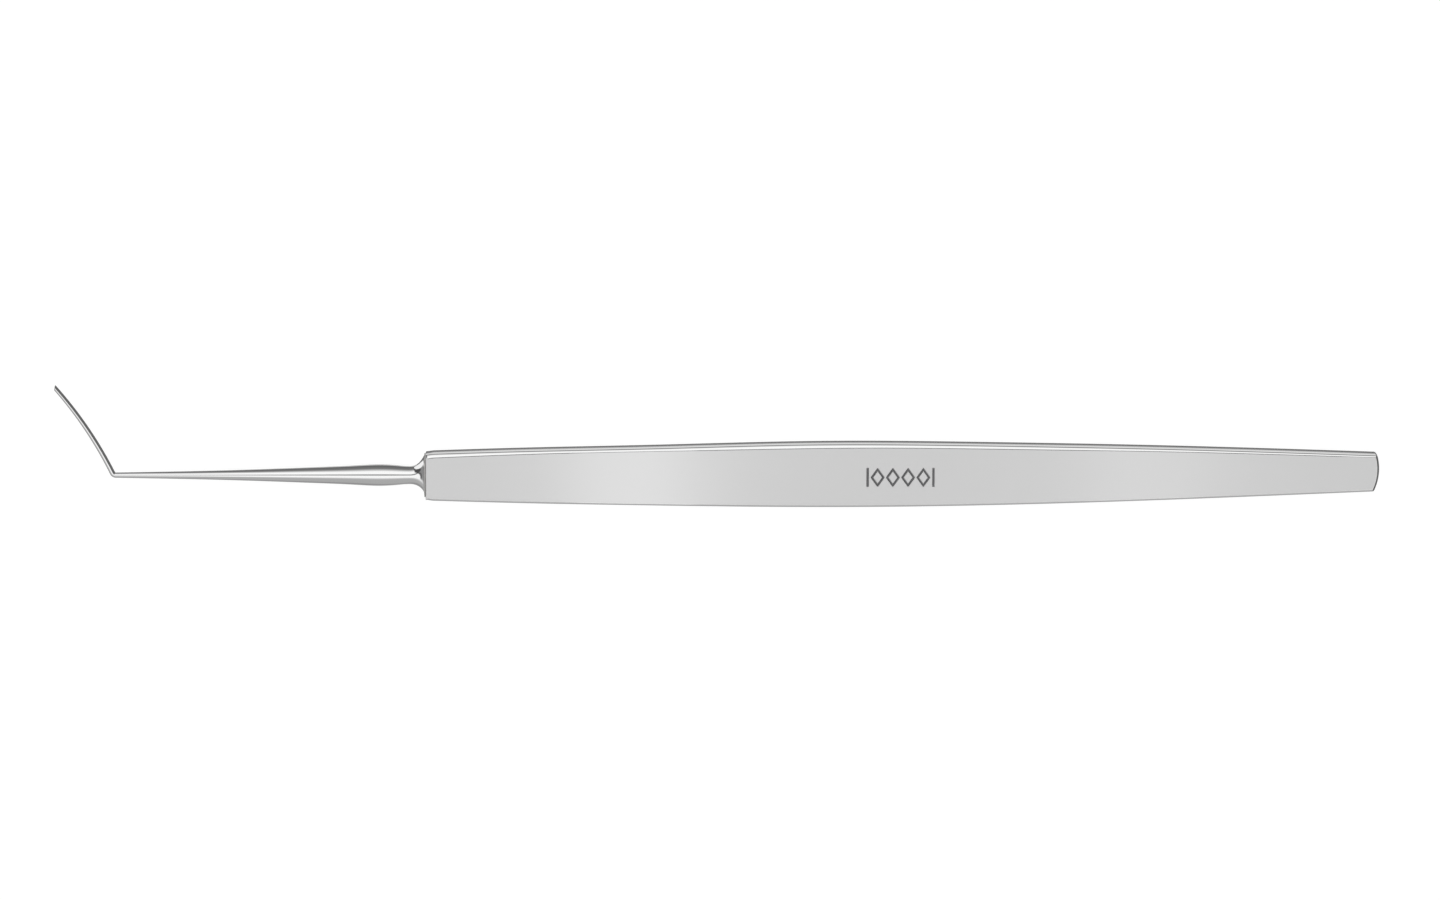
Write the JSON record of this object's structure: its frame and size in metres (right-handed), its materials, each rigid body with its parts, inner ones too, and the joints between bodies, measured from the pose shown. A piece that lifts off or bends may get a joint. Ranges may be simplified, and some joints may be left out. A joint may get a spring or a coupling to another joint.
{
  "type": "ophthalmic spatula",
  "caption": "Slim micro-spatula: flat satin handle that tapers to both ends, polished round shank flared into the handle, and a thin blunt tip bent steeply to one side.",
  "frame": {"origin": "on the handle's flat back face, at half the handle's length, below the shank's axis", "axes": "+X along the shank's axis towards the handle's butt, +Y across the handle to the side that the tip bends to, +Z out of the handle's front face; the back face lies on z = 0"},
  "size_m": [0.1199, 0.0111, 0.002],
  "materials": {
    "satin_steel": "satin, fine bead blast with a faint lengthwise grain; edges brighter",
    "polished_steel": "hand-polished stainless steel, fine lengthwise polishing lines",
    "silver_braze": "silver brazing alloy, dull and slightly warm grey; only its rim shows, as a hairline in front of the nose"
  },
  "bodies": {
    "root": {"handle": "satin_steel", "working_end": "polished_steel", "braze_film": "silver_braze"}
  },
  "joints": []
}
